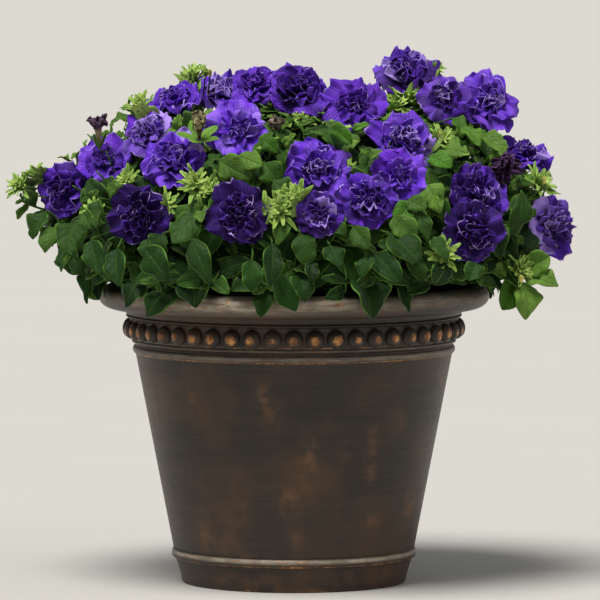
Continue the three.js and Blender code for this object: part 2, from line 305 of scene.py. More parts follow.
# Worn patches of the wall: turn from the front in degrees, height, half width, half height and
# strength. The first ones are where the front shows them, and the others are spread round the rest.
wall_patches = [
    (-41, 202, 10, 19, 0.60), (-11, 203, 9, 15, 1.00), (-7, 182, 12, 15, 0.45), (-36, 182, 5, 10, 0.75),
    (6, 141, 8, 27, 0.85), (33, 165, 7, 7, 1.10), (33, 143, 8, 15, 0.70), (21, 147, 9, 12, 0.45),
    (-2, 97, 12, 14, 0.95), (3, 122, 9, 10, 0.45), (-44, 60, 8, 19, 0.85), (1, 57, 7, 12, 0.65),
    (37, 74, 11, 9, 0.90), (3, 2, 18, 4, 1.30), (-25, 92, 14, 21, 0.40), (-32, 50, 17, 15, 0.40),
    (-59, 204, 8, 27, 0.40), (34, 122, 7, 9, 0.55), (45, 174, 10, 12, 0.40), (-16, 35, 31, 5, 0.50),
]
dice = random.Random(11)
for k in range(34):
    wall_patches.append((dice.uniform(62, 298), dice.uniform(45, 225), dice.uniform(6, 14),
                         dice.uniform(8, 24), dice.uniform(0.3, 1.0)))
stained = 0.45 * near(shell_height, 13, 9)
for turn, height, half_width, half_height, strength in wall_patches:
    around = (shell_turn - math.radians(turn) + math.pi) % (2 * math.pi) - math.pi
    stained += strength * near(around * shell_radius, 0, half_width) * near(shell_height, height, half_height)


def drain_marks(made, count=5, radius=7, depth=1.2, ring=70, sides=36):
    """Closes the open underside with a flat face that has shallow round marks in it."""
    work = bmesh.new()
    work.from_mesh(made.data)
    edges = [edge for edge in work.edges if edge.is_boundary]
    for i in range(count):
        turn = math.pi / 2 + 2 * math.pi * i / count
        middle = (ring * math.cos(turn), ring * math.sin(turn))
        angles = [2 * math.pi * k / sides for k in range(sides)]
        rims = [[work.verts.new((
            (middle[0] + radius * math.cos(a)) * mm, (middle[1] + radius * math.sin(a)) * mm, z * mm,
        )) for a in angles] for z in (0, depth)]
        edges += [work.edges.new((rims[0][k], rims[0][(k + 1) % sides])) for k in range(sides)]
        for k in range(sides):
            following = (k + 1) % sides
            work.faces.new((rims[0][k], rims[0][following], rims[1][following], rims[1][k]))
        work.faces.new(rims[1])
    bmesh.ops.triangle_fill(work, use_beauty=True, edges=edges)
    bmesh.ops.recalc_face_normals(work, faces=work.faces)
    work.to_mesh(made.data)
    work.free()
    made.data.shade_smooth()


pot_shell = piece("pot_shell", shell_points, shell_faces, bronze, {
    "worn": ring_wear * outside, "dust_and_highlight": top_dust_and_highlight * outside, "stained": stained * outside,
})
drain_marks(pot_shell)
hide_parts("pot")


# ---- The planter's beads ---------------------------------------------------------------------
# Fifty round beads on the band under the rim, moulded in one with the resin shell.
# Their fronts are rubbed to bare copper, some more than others.

bead_count = 50
bead_radius = 9.5
bead_reach = 7.0
bead_root = 2.5
bead_z = 264.6


def turned_solid(outline, segments):
    """An outline turned round Z, with a flat face at each of its ends."""
    points, faces = turned(outline, segments)
    first, last = list(range(segments)), list(range(len(points) - segments, len(points)))
    return points, [*faces, first[::-1], last]


dome_outline = arc((0, 0), (bead_radius, bead_reach), 0, 0.49, 12)
dome_points, dome_faces = turned_solid([(bead_radius * 0.97, -bead_root), *dome_outline], 32)
bead_points, bead_faces, bead_worn = [], [], []
for i in range(bead_count):
    turn = 2 * math.pi * (i + 0.5) / bead_count
    outward = np.array([math.cos(turn), math.sin(turn), 0])
    sideways = np.array([-math.sin(turn), math.cos(turn), 0])
    bead_faces += [[corner + i * len(dome_points) for corner in face] for face in dome_faces]
    bead_points.append(
        outward * (bead_band_radius + dome_points[:, 2:3])
        + sideways * dome_points[:, 0:1]
        + np.array([0, 0, 1]) * (bead_z + dome_points[:, 1:2])
    )
    off_front = np.hypot(dome_points[:, 0] + dice.uniform(-1.2, 1.2), dome_points[:, 1] + 1.0)
    bead_worn.append(dice.uniform(0.7, 1.2) * near(off_front, 0, 5.6) * (dome_points[:, 2] > 0))
unmarked = np.zeros(bead_count * len(dome_points))
pot_beads = piece("pot_beads", np.vstack(bead_points), bead_faces, bronze, {
    "worn": np.concatenate(bead_worn), "dust_and_highlight": unmarked, "stained": unmarked,
})
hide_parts("pot")


# ---- The potting soil ------------------------------------------------------------------------
# A dark mix of bark and peat that fills the planter to below its rim, in one crumbly body.
# Loose crumbs of bark lie on top of it.

soil_flat_z = 287
soil_edge = (168.4, 280)
soil_foot = (111.7, inner_floor_z + 0.3)

soil_finish = Finish("potting_mix", Specular_IOR_Level=0.25)
crumbs = soil_finish.noise(130, 5)
soil_finish.paint(
    Base_Color=soil_finish.mix(crumbs.between(0.35, 0.68), colour(22, 16, 12), colour(74, 54, 40)),
    Roughness=0.95 - 0.1 * crumbs,
    Normal=soil_finish.relief(crumbs + 0.5 * soil_finish.noise(420, 3), 0.003),
)


def soil_height(reach):
    """The soil is flat round the stems and falls a little to the planter's wall."""
    return np.interp(reach, (105, soil_edge[0]), (soil_flat_z, soil_edge[1]))


scatter = np.random.default_rng(5)
soil_rings = [(reach, soil_height(reach)) for reach in np.linspace(soil_edge[0], 1, 46)]
soil_points, soil_faces = turned_solid([soil_foot, (159.1, 240), *soil_rings], 150)
on_top = (soil_points[:, 2] > 279.9) & (np.hypot(soil_points[:, 0], soil_points[:, 1]) < 167)
soil_points[on_top, 2] -= scatter.uniform(0, 2.6, on_top.sum())
soil_body = piece("soil_body", soil_points, soil_faces, soil_finish)
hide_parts("soil")


class Growth:
    """The corners, faces and corner values of a mesh that is put together bit by bit."""

    def __init__(self, *labels):
        self.points = []
        self.faces = []
        self.values = {label: [] for label in labels}
        self.count = 0

    def add(self, points, *face_lists, **values):
        self.points.append(points)
        for faces in face_lists:
            self.faces += (np.asarray(faces) + self.count).tolist()
        self.count += len(points)
        for label, kept in self.values.items():
            kept.append(np.broadcast_to(values.get(label, 0.0), len(points)))

    def made(self, name, finish, slot):
        values = {label: np.concatenate(kept) for label, kept in self.values.items()}
        return piece(name, np.vstack(self.points), self.faces, finish, values)


work = bmesh.new()
bmesh.ops.create_icosphere(work, subdivisions=2, radius=1)
crumb_points = np.array([corner.co for corner in work.verts])
crumb_faces = [[corner.index for corner in face.verts] for face in work.faces]
work.free()
crumb_pile = Growth()
crumb_count = 420
for _ in range(crumb_count):
    reach = 160 * math.sqrt(scatter.uniform(0.02, 1))
    turn = scatter.uniform(0, 2 * math.pi)
    size = scatter.uniform(1.2, 3.6, 3) * (1, 1, 0.55)
    lumps = 1 + 0.22 * scatter.standard_normal((len(crumb_points), 1))
    spun = np.array([[math.cos(turn), -math.sin(turn), 0], [math.sin(turn), math.cos(turn), 0], [0, 0, 1]])
    middle = (reach * math.cos(turn * 7), reach * math.sin(turn * 7), soil_height(reach) - 0.4)
    crumb_pile.add((crumb_points * lumps * size) @ spun.T + middle, crumb_faces)
crumb_pile.made("soil_crumbs", soil_finish, "soil")


# ---- The branches ----------------------------------------------------------------------------
# Soft, finely haired stems that rise from the soil and fork, with alternate leaves all the way.
# Leaf blades are thin, folded along a pale midrib, wavy at the edge, and hang over the rim.

# For each bloom: diameter, the way it faces (turn from the front towards +X, lift above level, in
# degrees), how full its middle is, how pale its palest petals are, and how bright the others are.
# That brightness is partly painted shade: blooms that face out level, with little light from above,
# are the darkest.
blooms = [
    (58, -30, 10, 0.9, 0.1, 0.35), (54, -10, 40, 0.8, 0.25, 0.78), (56, -30, 55, 0.6, 0.05, 0.62),
    (54, 10, 50, 1.0, 1.3, 0.7), (52, -35, 35, 0.8, 0.8, 0.5), (64, -10, 30, 0.8, 0.2, 0.72),
    (62, 5, 25, 0.3, 1.7, 1.4), (62, -15, 10, 0.8, 0.0, 0.06), (58, 0, 10, 0.8, 0.0, 0.0),
    (50, -15, 50, 0.9, 0.03, 0.62), (60, 10, 45, 1.0, 0.03, 0.34), (60, 0, 35, 0.5, 0.1, 0.6),
    (62, 0, 45, 1.0, 0.3, 0.35), (50, -10, 30, 0.6, 0.3, 0.35), (62, 25, 35, 0.9, 0.3, 0.6),
    (64, 5, 35, 0.9, 0.5, 0.6), (60, -10, 25, 0.9, 0.4, 0.65), (56, 5, 20, 0.7, 0.15, 0.4),
    (46, -5, 10, 0.9, 0.2, 0.25), (52, 15, 20, 0.6, 0.35, 0.95), (62, 20, 25, 1.0, 0.3, 0.35),
    (58, 20, 0, 0.8, 0.05, 0.05), (56, 40, 60, 0.6, 0.1, 0.3), (60, 45, 5, 0.8, 0.9, 0.25),
    (56, -120, 25, 0.9, 0.2, 0.4), (58, -150, 45, 0.9, 0.3, 0.6), (60, 170, 40, 0.5, 0.1, 0.8),
    (58, 170, 50, 0.9, 0.3, 0.3), (58, 140, 35, 0.7, 0.1, 0.6), (56, 115, 20, 0.9, 0.3, 0.4),
    (58, -160, 15, 0.8, 0.1, 0.2), (60, 175, 15, 0.7, 0.4, 0.7), (56, 155, 10, 0.7, 0.2, 0.3),
]

# For each branch: the blooms that it bears, by number, and the tips of its leafy shoots.
branches = [
    ([1], [(-282, -30, 398), (-232, -75, 345)]),
    ([2], [(-200, -120, 338)]),
    ([3], [(-170, -10, 492)]),
    ([4, 10], [(-104, 5, 526)]),
    ([5], [(-172, -60, 440)]),
    ([6], [(-165, -130, 425)]),
    ([7], [(-90, -160, 425)]),
    ([8], [(-140, -180, 322), (-190, -130, 372)]),
    ([9], [(-85, -212, 322)]),
    ([11, 12], [(30, -85, 480)]),
    ([13, 14], [(150, 15, 525)]),
    ([15], [(170, -60, 465)]),
    ([16, 20], [(145, -135, 395)]),
    ([17], [(-10, -195, 415)]),
    ([18], [(85, -215, 330), (125, -190, 350)]),
    ([19], [(0, -222, 340), (-30, -218, 318)]),
    ([21, 22], [(190, -125, 325)]),
    ([23], [(258, -20, 425), (215, -40, 455)]),
    ([24], [(238, -70, 335), (255, 60, 340)]),
    ([25], [(-265, 50, 380), (-225, 105, 330)]),
    ([26, 31], [(-170, 170, 335)]),
    ([27], [(-60, 222, 330), (-45, 195, 430)]),
    ([28, 32], [(60, 222, 330)]),
    ([29, 33, 30], [(175, 165, 335), (215, 110, 335)]),
]

tube_behind = 0.78      # how far a bloom's tube reaches behind its limb, as a part of its radius
calyx_length = 9
stem_points = 25
mound_middle = np.array([0, 0, 300.0])
mound_half = np.array([290.0, 240.0, 240.0])
upwards = np.array([0, 0, 1.0])
hidden_depth = 60       # leaves and tufts behind this depth don't turn to the front


def unit(vector):
    return np.asarray(vector) / np.linalg.norm(vector)


def bloom_facing(number):
    """The way that a bloom faces."""
    turn, lift = np.radians(blooms[number - 1][1:3])
    return np.array([
        math.sin(turn) * math.cos(lift), -math.cos(turn) * math.cos(lift), math.sin(lift),
    ])


def bloom_place(number):
    """The middle of a bloom's limb, a little in front of the middle of its solid's box."""
    low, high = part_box(f"flower_{number:02d}")
    return (np.array(low) + np.array(high)) / 2 / mm + 2 * bloom_facing(number)


bloom_places = np.array([bloom_place(n + 1) for n in range(len(blooms))])
bloom_facings = np.array([bloom_facing(n + 1) for n in range(len(blooms))])
bloom_radii = np.array([bloom[0] / 2 for bloom in blooms])


def stalk_end(number):
    """Where the stem under a bloom ends and its calyx begins."""
    back = tube_behind * bloom_radii[number - 1] + calyx_length
    return bloom_places[number - 1] - back * bloom_facings[number - 1]


def growth_line(start, start_way, end, end_way):
    """A stem's evenly spaced middle line between two points and directions."""
    reach = np.linalg.norm(end - start)
    corners = [start, start + 0.42 * reach * start_way, end - 0.38 * reach * end_way, end]
    t = np.linspace(0, 1, 120)[:, None]
    weights = [(1 - t) ** 3, 3 * t * (1 - t) ** 2, 3 * t ** 2 * (1 - t), t ** 3]
    curve = sum(weight * corner for weight, corner in zip(weights, corners))
    travelled = np.concatenate([[0], np.cumsum(np.linalg.norm(np.diff(curve, axis=0), axis=1))])
    even = np.linspace(0, travelled[-1], stem_points)
    return np.stack([np.interp(even, travelled, curve[:, axis]) for axis in range(3)], axis=1)


def shoot_way(tip):
    """A shoot's tip points outwards: down near the rim, level above it, and up higher still."""
    outward = unit((tip[0], tip[1], 0))
    return unit(outward + upwards * np.clip((tip[2] - 350) / 90, -0.75, 1.4))


def at_length(path, travelled):
    """The point and direction at this distance back from a path's end."""
    lengths = np.linalg.norm(np.diff(path, axis=0), axis=1)
    spot = max(0.02, 1 - travelled / lengths.sum()) * (len(path) - 1)
    step = min(int(spot), len(path) - 2)
    way = path[step + 1] - path[step]
    return path[step] + (spot - step) * way, unit(way)


def add_tube(growth, path, radii, sides, **values):
    """A closed tube along a path, with a radius for each ring, or for each point of each ring."""
    ways = np.gradient(path, axis=0)
    ways /= np.linalg.norm(ways, axis=1, keepdims=True)
    side = unit(np.cross(ways[0], (0.3, 1, 0.2)))
    angles = np.linspace(0, 2 * np.pi, sides, endpoint=False)[:, None]
    rings = []
    for point, way, radius in zip(path, ways, radii):
        side = unit(side - way * side.dot(way))
        spokes = np.cos(angles) * side + np.sin(angles) * np.cross(way, side)
        rings.append(point + np.reshape(radius, (-1, 1)) * spokes)
    last = (len(path) - 1) * sides
    middle = len(path) * sides
    ends = [[middle, (k + 1) % sides, k] for k in range(sides)]
    ends += [[middle + 1, last + k, last + (k + 1) % sides] for k in range(sides)]
    growth.add(np.vstack([*rings, path[:1], path[-1:]]), ring_faces(len(path), sides), ends, **values)


def add_stem(growth, path, start_radius, end_radius, young=0.0):
    radii = np.linspace(start_radius, end_radius, len(path))
    add_tube(growth, path, radii, 7, stem=1.0, young=young, tone=0.5)


def shell_of(sheet, thickness):
    """Corners of both sides of a thin shell round a grid of points: the upper side, then the lower."""
    normal = np.cross(np.gradient(sheet, axis=1), np.gradient(sheet, axis=0))
    normal /= np.linalg.norm(normal, axis=2, keepdims=True) + 1e-9
    half = normal * thickness / 2
    return np.vstack([(sheet + half).reshape(-1, 3), (sheet - half).reshape(-1, 3)])


def shell_faces_of(rows, columns):
    """Faces of a closed shell: its upper side, its lower side and the rim that joins them."""
    row, column = np.mgrid[0:rows - 1, 0:columns - 1]
    first = (row * columns + column).reshape(-1)
    upper = np.stack([first, first + 1, first + columns + 1, first + columns], axis=1)
    below = rows * columns
    lower = upper[:, ::-1] + below
    edge = [*range(columns), *range(2 * columns - 1, rows * columns, columns),
            *range(rows * columns - 2, (rows - 1) * columns - 1, -1),
            *range((rows - 2) * columns, 0, -columns)]
    rim = [[edge[k - 1] + below, edge[k] + below, edge[k], edge[k - 1]] for k in range(len(edge))]
    return np.vstack([upper, lower, np.array(rim)])


def both_sides(grid):
    """A number for each corner of a shell, from one for each point of its grid."""
    return np.tile(grid.reshape(-1), 2)


def blade_grid(rows, columns):
    """How far along and across a blade each point is, its shell's faces and the corners' values."""
    along, across = np.meshgrid(np.linspace(0, 1, rows), np.linspace(-1, 1, columns), indexing="ij")
    values = {"along": both_sides(along), "across": both_sides(across)}
    values["under"] = np.repeat([0.0, 1.0], rows * columns)
    return along, across, shell_faces_of(rows, columns), values


leaf_along, leaf_across, leaf_faces, leaf_values = blade_grid(17, 9)


def leaf_sheet(length, width, lift, droop, fold, ripple, pointed, luck):
    """A blade on its short stalk, from the origin along Y with its upper side towards Z."""
    blade = np.clip((leaf_along - 0.1) / 0.9, 0, 1)
    breadth = blade ** 0.55 * (1 - blade) ** (0.62 + 0.42 * pointed)
    breadth = breadth / breadth.max()
    half_width = 0.9 + (width / 2 - 0.9) * breadth * (leaf_along > 0.1)
    pitch = np.radians(lift - droop * leaf_along[:, 0] ** 1.3)
    step = length / (len(pitch) - 1)
    forward = np.concatenate([[0], np.cumsum(np.cos(pitch[:-1]) * step)])
    height = np.concatenate([[0], np.cumsum(np.sin(pitch[:-1]) * step)])
    spread = np.abs(leaf_across)
    phases = [luck.uniform(0, 6.3) for _ in range(4)]
    sway = luck.uniform(-0.12, 0.12) * length * leaf_along ** 2
    turns = 2 * np.pi * leaf_along
    waves = np.where(
        leaf_across > 0,
        np.sin(1.8 * turns + phases[0]) + 0.3 * np.sin(3.7 * turns + phases[2]),
        np.sin(1.6 * turns + phases[1]) + 0.3 * np.sin(4.0 * turns + phases[3]),
    )
    quilt = np.cos(2 * np.pi * (5.5 * leaf_along - 1.8 * spread)) * spread * (1 - spread)
    rise = half_width * (fold * spread - 0.3 * spread ** 3) + ripple * waves * spread ** 1.8 * breadth
    rise = rise + 0.03 * length * quilt * breadth
    x = leaf_across * half_width * (1 + 0.085 * waves * spread) + sway
    y = forward[:, None] - rise * np.sin(pitch)[:, None]
    z = height[:, None] + rise * np.cos(pitch)[:, None]
    return np.stack([x, y, z], axis=2)


def laid(sheet, foot, x_way, y_way, z_way):
    """A sheet moved to foot, with its own X, Y and Z turned to these ways."""
    return foot + sheet[..., 0:1] * x_way + sheet[..., 1:2] * y_way + sheet[..., 2:3] * z_way


def stood(sheet, foot, way, upper):
    """A sheet moved so that it starts at foot, runs along way and turns its top to upper."""
    side = unit(np.cross(way, upper))
    return laid(sheet, foot, side, way, np.cross(side, way))


def square_to(way, aside=(0.2, 0.3, 1)):
    """Two directions that are square to a way and to each other."""
    side = unit(np.cross(way, aside))
    return side, np.cross(way, side)


rim_clearance = 1.2
wall_inside = 150       # further out than this, a leaf below the rim's middle is moved past the rim


def off_the_rim(points):
    """Points pushed up and out of the planter's rim, and how far the worst one went."""
    radius = np.hypot(points[..., 0], points[..., 1]) + 1e-9
    height = points[..., 2]
    half_width, half_height = rim_half[0] + rim_clearance, rim_half[1] + rim_clearance
    across, upward = (radius - rim_middle[0]) / half_width, (height - rim_middle[1]) / half_height
    depth = np.maximum(np.hypot(across, upward), 0.05)
    inside = (depth < 1) & (upward > 0)
    new_radius = np.where(inside, rim_middle[0] + across / depth * half_width, radius)
    new_height = np.where(inside, rim_middle[1] + upward / depth * half_height, height)
    under = (upward <= 0) & (radius > wall_inside) & (across < 1)
    new_radius = np.where(under, rim_middle[0] + half_width, new_radius)
    pushed = points.copy()
    pushed[..., :2] *= (new_radius / radius)[..., None]
    pushed[..., 2] = new_height
    return pushed, np.linalg.norm(pushed - points, axis=-1).max()


# How far behind the middle of a bloom's limb the space that it needs begins, by how far from its
# axis a point is: a funnel. Both are parts of the bloom's radius, and the space ends in front.
funnel_spread = (0, 0.95, 1.35)
funnel_back = (-0.7, -0.27, 0.95)
funnel_front = 0.95


def behind_the_blooms(points, reach=120):
    """Points pressed back out of any bloom that they reach into, and how far the worst one went."""
    pushed = points.copy()
    furthest = 0.0
    for place, facing, radius in zip(bloom_places, bloom_facings, bloom_radii):
        if np.linalg.norm(points.reshape(-1, 3)[0] - place) > reach:
            continue
        offset = pushed - place
        depth = offset @ facing
        spread = np.linalg.norm(offset - depth[..., None] * facing, axis=-1) / radius
        back = radius * np.interp(spread, funnel_spread, funnel_back)
        inside = (depth > back) & (depth < funnel_front * radius)
        shift = np.where(inside, back - depth, 0.0)
        furthest = max(furthest, -shift.min())
        pushed = pushed + shift[..., None] * facing
    return pushed, furthest


front_way = unit((0, -1, 0.07))     # from the mound to the eye


def shows_over_blooms(path):
    """How much of a stem shows in front of the blooms, seen from the front, most at their middles."""
    offsets = path[:, None] - bloom_places
    along_way = offsets @ front_way
    beside = np.linalg.norm(offsets - along_way[..., None] * front_way, axis=2) / bloom_radii
    return (np.maximum(1 - beside, 0) * (along_way > -0.1 * bloom_radii)).sum()


most_hiding = 0.08      # the share of a leaf that may lie in front of a bloom


def hides_a_bloom(points):
    """Whether too much of a leaf hides a bloom, from the front or from where the bloom faces."""
    offsets = points.reshape(-1, 1, 3) - bloom_places
    covered = np.zeros(len(offsets), dtype=bool)
    facing_front = bloom_facings @ front_way > 0.2
    for way, depth, chosen in ((front_way, 220, facing_front), (bloom_facings, 45, bloom_radii > 0)):
        along_way = (offsets * way).sum(axis=2)
        beside = np.linalg.norm(offsets - along_way[..., None] * way, axis=2) / bloom_radii
        covered |= ((along_way > 0) & (along_way < depth) & (beside < 0.8) & chosen).any(axis=1)
    return covered.mean() > most_hiding


def mound_normal(place):
    """The way straight out of the mound."""
    lifted = np.array([place[0], place[1], max(place[2] - mound_middle[2], 0)])
    return unit(lifted / mound_half ** 2)


furthest_out = np.array([298, 248])     # the furthest that a leaf may reach across and in depth
over_the_rim = 313


def add_leaf(growth, foot, way, upper, length, luck, young=0.0, width=None, droop=None, lift=None,
             press=9, lowest=over_the_rim, shows=True):
    """One leaf, left out where a bloom would have to press it back further than it can bend."""
    sheet = leaf_sheet(
        length,
        width or length * luck.uniform(0.5, 0.7) * np.interp(length, (12, 34), (0.66, 1)),
        luck.uniform(5, 30) if lift is None else lift,
        luck.uniform(35, 85) if droop is None else droop,
        luck.uniform(0.1, 0.75),
        length * luck.uniform(0.04, 0.11),
        luck.uniform(0.35, 1.15),
        luck,
    )
    placed, pressed = behind_the_blooms(stood(sheet, foot, way, upper))
    placed, lifted = off_the_rim(placed)
    if max(pressed, lifted) > press or placed[..., 2].min() < lowest:
        return False
    if (np.abs(placed[..., :2]).max(axis=(0, 1)) > furthest_out).any():
        return False
    if shows and hides_a_bloom(placed):
        return False
    corners = shell_of(placed, 0.55 if length > 25 else 0.4)
    growth.add(corners, leaf_faces, young=young, tone=luck.random(), **leaf_values)
    return True


golden_angle = math.pi * (3 - math.sqrt(5))
leaf_hang = 0.35


def leaf_way(foot, angle, luck, rise):
    """A leaf's direction and upper side: spread round the stem, hanging a little, facing out."""
    normal = mound_normal(foot)
    across = unit(np.cross(upwards, normal) + 1e-6)
    downhill = np.cross(across, normal)
    spoke = across * math.cos(angle) + downhill * (math.sin(angle) + leaf_hang) + normal * rise
    sideways = abs(normal[0]) * (foot[1] < hidden_depth)
    leaning = (1 - 0.55 * sideways) * np.array([luck.uniform(-0.55, 0.55) for _ in range(3)])
    return unit(spoke), unit(normal + 0.45 * upwards + (0.2 + 1.1 * sideways) * front_way + leaning)


def add_shoot(growth, path, sizes, gaps, luck, young_tip):
    """Leaves from a shoot's tip backwards, each a golden angle round from the last."""
    angle = luck.uniform(0, 6.3)
    travelled = 1.5
    grown = 0
    for i, (size, gap) in enumerate(zip(sizes, gaps)):
        foot, way = at_length(path, travelled)
        young = young_tip * max(0, 1 - i / 3.5)
        # A leaf that finds no room tries to grow further round the stem, or else is left out.
        for lean in (0, 0.7, -0.7, 1.5):
            direction, normal = leaf_way(foot, angle + lean, luck, 0.75 if i < 2 else 0.3)
            if add_leaf(growth, foot, direction, normal, size * luck.uniform(0.88, 1.12), luck, young):
                grown += 1
                break
        angle += golden_angle
        travelled += gap
    return grown


def add_lobes(growth, start, facing, length, width, spread, luck, young=0.35):
    """The five narrow lobes of a calyx, round a tube that leaves start along facing."""
    side, other = square_to(facing)
    turned_over = leaf_values | {"under": 1 - leaf_values["under"]}    # its underside faces out
    for k in range(5):
        turn = 2 * math.pi * k / 5 + 0.3
        outward = side * math.cos(turn) + other * math.sin(turn)
        sheet = leaf_sheet(length, width, 8, luck.uniform(-25, 10), 0.2, 0.15, 0.4, luck)
        placed = stood(sheet, start + outward * 1.2, unit(facing + spread * outward), outward)
        growth.add(shell_of(placed, 0.4), leaf_faces, young=young, tone=0.5, **turned_over)


# How far a stem may bend aside at its middle, the least first.
bends = [(0, 0, 0), (0, 25, 0), (14, 12, 0), (-14, 12, 0), (0, 50, -10), (28, 25, 0), (-28, 25, 0)]


def clear_line(start, start_way, end, end_way, bare=False):
    """A stem's line that bends aside as little as it must to stay clear of the blooms' fronts. Where
    none does, a bare stalk takes the line that shows least, and a leafy shoot the straightest."""
    tried = []
    for last_way in (end_way, unit(end_way + 2 * upwards), unit(upwards - 0.4 * front_way)):
        line_to = growth_line(start, start_way, end, last_way)
        bulge = np.sin(np.linspace(0, math.pi, stem_points))[:, None]
        for bend in bends:
            bent = line_to + bulge * bend
            tried.append(bent)
            if shows_over_blooms(bent) == 0:
                return bent
    return min(tried, key=shows_over_blooms) if bare else tried[0]


branch_growths = []
branch_lines = []
half_way = stem_points // 2
for index, (numbers, tips) in enumerate(branches):
    luck = random.Random(100 + index)
    growth = Growth("along", "across", "young", "tone", "under", "stem")
    first = numbers[0]
    root = np.array([*(0.3 * bloom_places[first - 1][:2]), soil_flat_z - 1.0])
    main = growth_line(root, upwards, stalk_end(first), bloom_facings[first - 1])
    add_stem(growth, main, 2.4, 1.5)
    fork, fork_way = main[half_way], unit(main[half_way + 1] - main[half_way - 1])
    for number in numbers[1:]:
        line_to = growth_line(fork, fork_way, stalk_end(number), bloom_facings[number - 1])
        add_stem(growth, line_to, 1.9, 1.4)
        add_shoot(growth, line_to, (36, 44, 50), (24, 22, 26), luck, 0.2)
    for number in numbers:
        add_lobes(growth, stalk_end(number), bloom_facings[number - 1], 17, 4.6, 0.32, luck)
    add_shoot(growth, main[:-3], (34, 42, 48, 50), (16, 20, 24, 28), luck, 0.2)
    for tip in tips:
        tip = np.array(tip, dtype=float)
        line_to = clear_line(fork, fork_way, tip, shoot_way(tip))
        add_stem(growth, line_to, 1.9, 1.1, 0.3)
        sizes = np.array([14, 20, 28, 38, 46, 52, 54]) * np.interp(abs(tip[0]), (235, 275), (1, 0.8))
        add_shoot(growth, line_to, sizes, (3, 5, 8, 11, 15, 20, 24), luck,
                  np.interp(tip[2], (330, 440), (0.15, 0.6)))
    branch_growths.append(growth)
    branch_lines.append(main)


# Side shoots leave a branch from this stretch of its middle line.
first_row, end_row = 9, 19


def nearest_branch(place):
    """The branch whose middle stretch passes closest to a place, and the point it passes at."""
    middles = np.array([main[first_row:end_row] for main in branch_lines])
    gaps = np.linalg.norm(middles - place, axis=2)
    index, row = np.unravel_index(gaps.argmin(), gaps.shape)
    return index, row + first_row


def add_side_shoot(tip, luck, sizes=(), gaps=(), young_tip=0.0, way=None, held=False):
    """A thin side shoot from the nearest branch to a tip: a bare stalk, or one with leaves."""
    index, row = nearest_branch(tip)
    main = branch_lines[index]
    start_way = unit(main[row + 1] - main[row - 1])
    line_to = clear_line(main[row], start_way, tip, shoot_way(tip) if way is None else way, not sizes)
    grown = add_shoot(branch_growths[index], line_to, sizes, gaps, luck, young_tip)
    if shows_over_blooms(line_to) > 0:
        # The stalk passes behind the blooms, but a held one keeps its very end in place.
        freedom = np.interp(np.arange(stem_points), (20, 23), (1, 0 if held else 1))[:, None]
        line_to = line_to + freedom * (behind_the_blooms(line_to, 500)[0] - line_to)
        for _ in range(3):
            line_to[1:-1] = (line_to[:-2] + 2 * line_to[1:-1] + line_to[2:]) / 4
    if grown or not sizes:
        add_stem(branch_growths[index], line_to, 1.3, 0.8, 0.2)
    return index


# Side shoots fill the mound evenly, in an outer layer of fresh leaves and an inner one of large,
# shaded leaves. The mound's outline is widest above the rim and flat on top: heights, then the
# reach there as a part of the mound's half widths.
outline_heights = np.array([300, 325, 350, 380, 410, 440, 465, 485, 497])
outline_reach = np.array([0.68, 0.77, 0.84, 0.90, 0.91, 0.85, 0.72, 0.45, 0.02])
outline_steps = np.linspace(0, len(outline_heights) - 1, 200)
fine_height = np.interp(outline_steps, range(len(outline_heights)), outline_heights)
fine_reach = np.interp(outline_steps, range(len(outline_heights)), outline_reach)
slope = np.hypot(np.diff(fine_height), mound_half[:2].mean() * np.diff(fine_reach))
ring_area = np.cumsum(fine_reach[1:] * slope)
all_tips = [np.array(tip, dtype=float) for _, tips in branches for tip in tips]
luck = random.Random(7)

# For each layer: how many shoots it has at most, how far out it lies as a part of the mound, how
# close to a bloom its tips may come in that bloom's radii, and the shoots' leaf sizes and gaps.
layers = [
    (290, 0.95, 0.9, (15, 24, 36, 44, 48, 50), (3, 6, 9, 13, 17, 20)),
    (150, 0.71, 0.6, (42, 48, 54, 56), (6, 12, 16, 20)),
]
for layer, (count, depth, clear_of, sizes, gaps) in enumerate(layers):
    for k in range(count):
        step = np.interp((k + 0.5) / count, ring_area / ring_area[-1], outline_steps[1:])
        height = np.interp(step, outline_steps, fine_height)
        reach = np.interp(step, outline_steps, fine_reach) * depth * luck.uniform(0.94, 1.03)
        turn = golden_angle * k + layer
        tip = mound_middle + (
            mound_half[0] * reach * math.cos(turn),
            mound_half[1] * reach * math.sin(turn),
            (height - mound_middle[2]) * (depth + 0.04) + luck.uniform(-4, 4),
        )
        beside = np.linalg.norm(bloom_places - tip, axis=1) / bloom_radii
        crowded = layer == 0 and any(np.linalg.norm(other - tip) < 25 for other in all_tips)
        if beside.min() < clear_of or crowded:
            continue
        if layer == 0:
            all_tips.append(tip)
        upper = np.interp(tip[2], (360, 475), (0, 1))
        grown = np.interp(tip[2], (330, 460), (1.1, 0.82)) * luck.uniform(0.9, 1.1)
        young = (0.1 + 0.6 * upper) * luck.uniform(0.5, 1.3) if layer == 0 else 0.0
        add_side_shoot(tip, luck, [size * grown for size in sizes], gaps, young)


